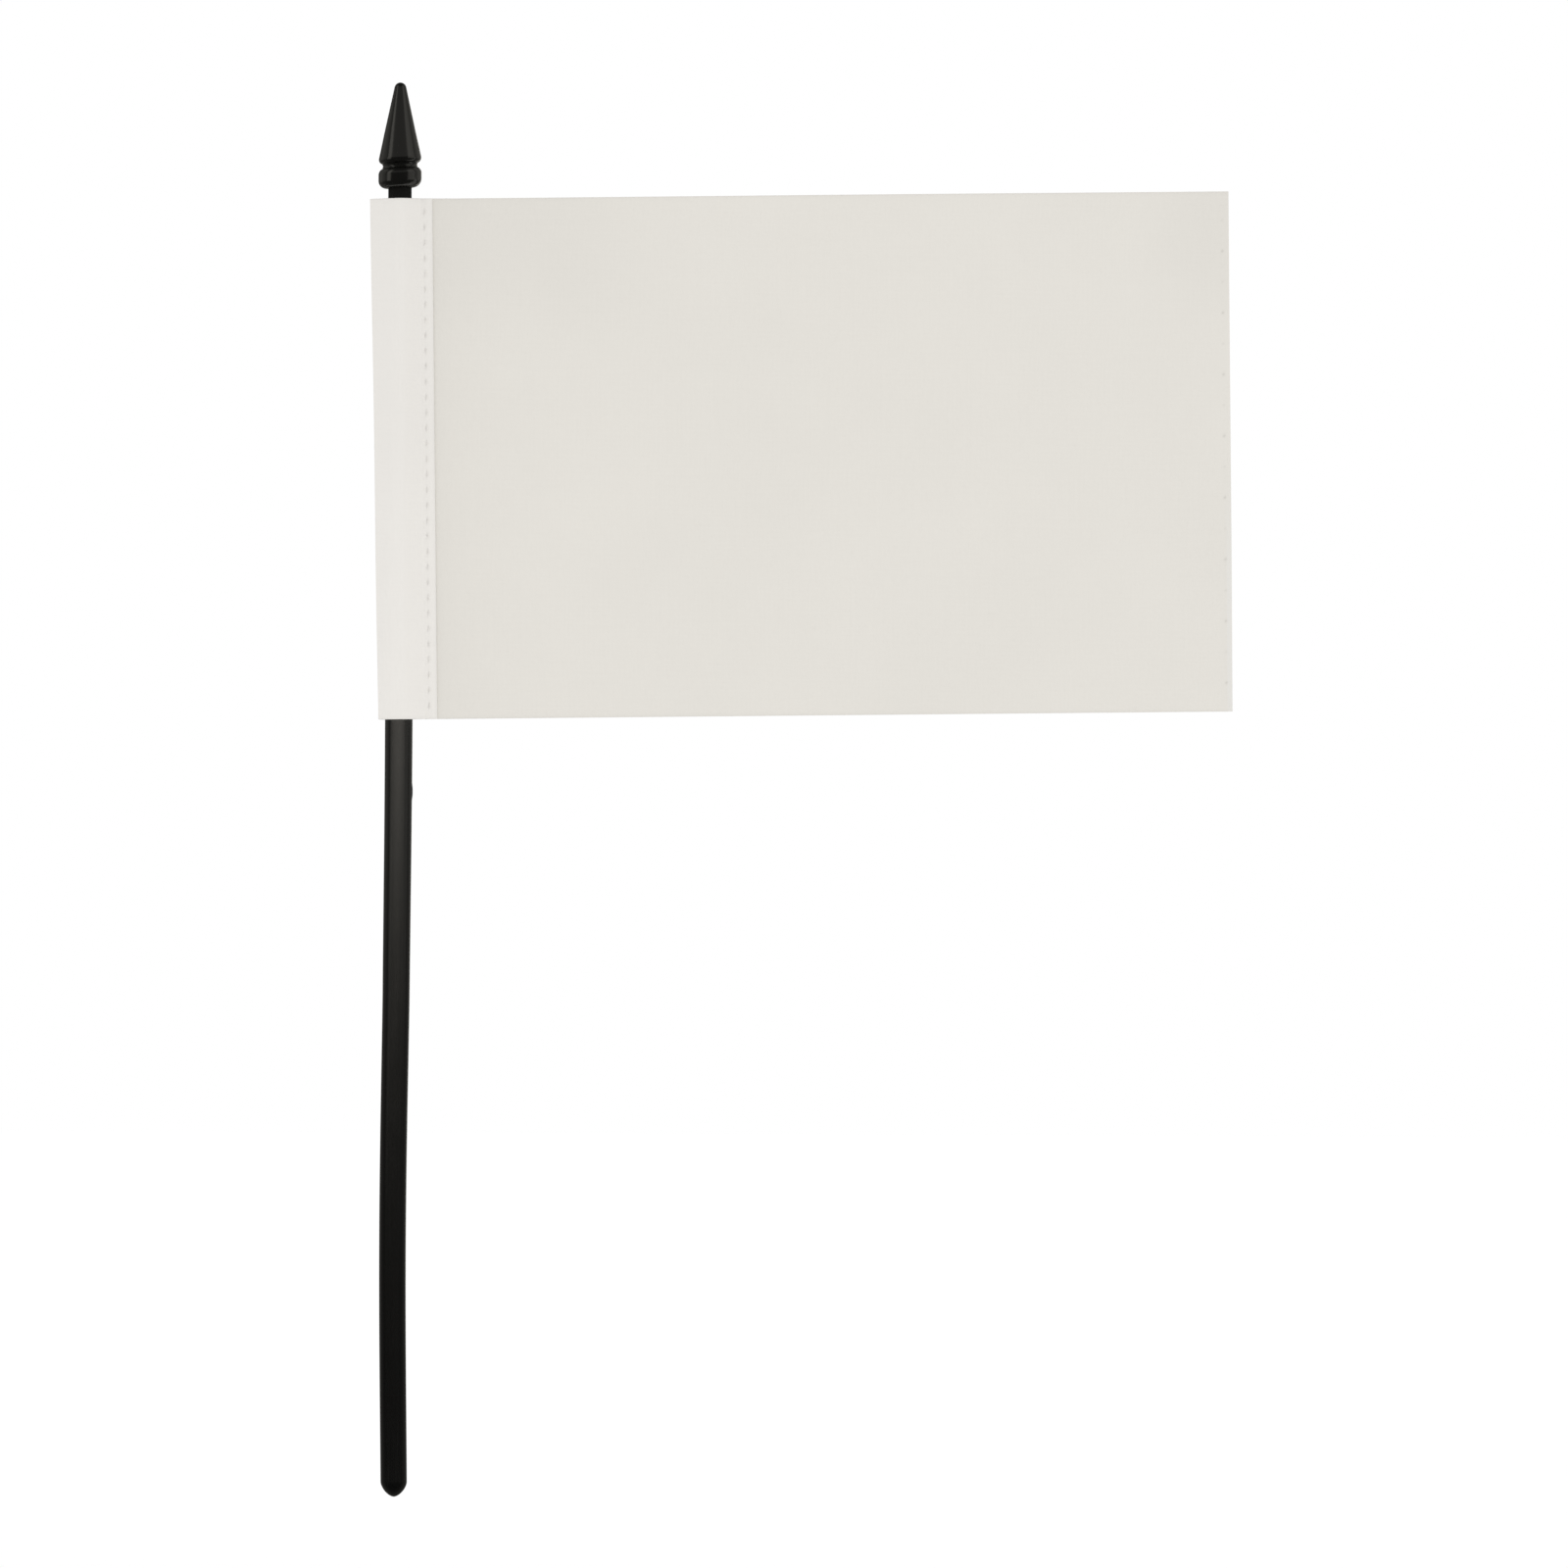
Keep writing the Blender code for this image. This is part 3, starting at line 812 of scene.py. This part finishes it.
def make_seams():
    """Both rows of stitches. The needle thread lies on the side that the cloth is folded to."""
    material = thread_material()
    seat = CLOTH / 2 - THREAD_SUNK * THREAD_RADIUS
    made = []
    for row, seam_x, side in (("sleeve", SEAM_X, -1.0), ("hem", HEM_X, 1.0)):
        def needle_run(swell, side=side):
            return side * (LAYER + seat + 0.02 * MM * swell)

        def bobbin_run(swell, side=side):
            return -side * (seat + 0.01 * MM * swell)

        needle_dip = side * (LAYER / 2 + 0.07 * MM)
        bobbin_dip = side * (LAYER / 2 - 0.07 * MM)
        made.append(make_thread(
            row + "_needle_stitches", row + "_needle_thread", seam_x, needle_run, needle_dip, material
        ))
        made.append(make_thread(
            row + "_bobbin_stitches", row + "_bobbin_thread", seam_x, bobbin_run, bobbin_dip, material
        ))
    return made


# ---------------------------------------------------------------- studio


def softbox(name, azimuth, distance, low, high, width, radiance, colour, shape="RECTANGLE"):
    """A softbox that only the plastics mirror. Azimuth 0 is in front, 90 on the right.

    It stands upright from low to high at a distance from the pole, and its radiance is given
    instead of its power, so that its size doesn't change how bright it looks.
    """
    data = bpy.data.lights.new(name, "AREA")
    data.shape = shape
    data.size, data.size_y = width, high - low
    area = width * (high - low) * (math.pi / 4 if shape == "ELLIPSE" else 1.0)
    data.energy = radiance * math.pi * area
    data.color = colour
    light = bpy.data.objects.new(name, data)
    bpy.context.scene.collection.objects.link(light)
    turn = math.radians(azimuth)
    light.location = (distance * math.sin(turn), -distance * math.cos(turn), (low + high) / 2)
    light.rotation_euler = (math.pi / 2, 0.0, turn)
    light.visible_camera = False
    light.visible_diffuse = False
    return light


def make_lights(pole):
    """A low softbox in front for the pole alone, two on each side, one behind, and the key."""
    warm = (1.0, 0.97, 0.88)
    amber = (1.0, 0.95, 0.86)
    front = softbox("front_softbox", 0.0, 0.45, 0.124, 0.236, 1.25, 2.3, amber, "ELLIPSE")
    lit = bpy.data.collections.new("lit_by_front_softbox")
    lit.objects.link(pole)
    front.light_linking.receiver_collection = lit
    # Name, azimuth, distance, low end, high end, width and radiance
    standing_round = (
        ("left_strip", -60.0, 0.55, 0.09, 0.95, 0.22, 0.90),
        ("left_wall", -104.0, 0.62, 0.12, 0.95, 0.55, 0.24),
        ("right_softbox", 68.0, 0.55, 0.08, 0.95, 0.44, 0.60),
        ("right_wall", 116.0, 0.62, 0.12, 0.95, 0.50, 0.24),
        ("back_softbox", 160.0, 0.60, 0.0, 0.5, 0.12, 0.9),
    )
    for name, *measures in standing_round:
        softbox(name, *measures, warm)
    # The key does the opposite of the others: it lights the cloth, and nothing mirrors it
    key = softbox("cloth_key", 42.0, 1.5, 0.9, 1.9, 1.0, 0.28, (1.0, 1.0, 1.0))
    key.rotation_euler.x = math.radians(55.0)
    key.visible_diffuse = True
    key.visible_glossy = False


def make_world():
    """A white studio, even on every side. The plastics mirror a darker room."""
    world = bpy.data.worlds.new("studio")
    bpy.context.scene.world = world
    world.use_nodes = True
    world.cycles.sampling_method = "NONE"
    tree = world.node_tree
    tree.nodes.clear()
    path = add_node(tree, "ShaderNodeLightPath")
    direction = add_node(tree, "ShaderNodeTexCoord").outputs["Generated"]
    split = add_node(tree, "ShaderNodeSeparateXYZ", {"Vector": direction})
    toward_back, upward = split.outputs["Y"], split.outputs["Z"]
    room = ranged(tree, toward_back, -0.4, 0.5, 0.055, 0.16)
    above_front = ranged(tree, toward_back, -0.5, -0.1, 0.26, 0.0)
    above_horizon = ranged(tree, upward, 0.15, 0.33, 0.0, 1.0)
    below_top = ranged(tree, upward, 0.5, 0.75, 1.0, 0.0)
    band = maths(tree, "MULTIPLY", above_horizon, below_top)
    mirrored = maths(tree, "MULTIPLY_ADD", above_front, band, room)
    dark_room = blended(tree, mirrored, (0.0, 0.0, 0.0, 1.0), (1.0, 0.97, 0.90, 1.0))
    even_light, white = (0.96, 0.96, 0.96, 1.0), (1.0, 1.0, 1.0, 1.0)
    even = blended(tree, path.outputs["Is Camera Ray"], even_light, white)
    fill = blended(tree, path.outputs["Is Glossy Ray"], even, dark_room)
    background = add_node(tree, "ShaderNodeBackground", {"Color": fill, "Strength": 1.0})
    output = add_node(tree, "ShaderNodeOutputWorld")
    tree.links.new(background.outputs["Background"], output.inputs["Surface"])


def make_floor():
    """A plain pale floor a little below the pole's foot, as bright as the room."""
    material, tree, shader = new_material("studio_floor")
    shader.inputs["Base Color"].default_value = (0.9, 0.9, 0.9, 1.0)
    shader.inputs["Roughness"].default_value = 1.0
    shader.inputs["Specular IOR Level"].default_value = 0.0
    shader.inputs["Emission Color"].default_value = (1.0, 1.0, 1.0, 1.0)
    shader.inputs["Emission Strength"].default_value = 0.14
    mesh = bpy.data.meshes.new("studio_floor")
    reach, floor_z = 2.5, -0.03
    corners = [(x * reach, y * reach, floor_z) for x, y in ((-1, -1), (1, -1), (1, 1), (-1, 1))]
    mesh.from_pydata(corners, [], [(0, 1, 2, 3)])
    mesh.materials.append(material)
    floor = bpy.data.objects.new("studio_floor", mesh)
    bpy.context.scene.collection.objects.link(floor)
    floor.visible_glossy = False


def make_camera():
    """A long lens straight in front, rolled a little so that the pole leans as it does there."""
    data = bpy.data.cameras.new("camera")
    data.lens = 200.0
    data.sensor_width = 36.0
    seen_width = 0.3048
    seen_centre_x, seen_centre_z = 0.0752, 0.1389
    roll = math.radians(0.273)
    distance = seen_width * data.lens / data.sensor_width
    camera = bpy.data.objects.new("camera", data)
    bpy.context.scene.collection.objects.link(camera)
    camera.location = (seen_centre_x, -distance, seen_centre_z)
    camera.rotation_euler = (math.pi / 2, -roll, 0.0)
    data.clip_start, data.clip_end = 0.05, 20.0
    bpy.context.scene.camera = camera


make_camera()
make_world()
make_floor()
make_lights(make_pole())
make_finial()
flag_sheet, cut_length = make_cloth()
stitches = make_seams()

bpy.context.scene.view_settings.view_transform = "Standard"
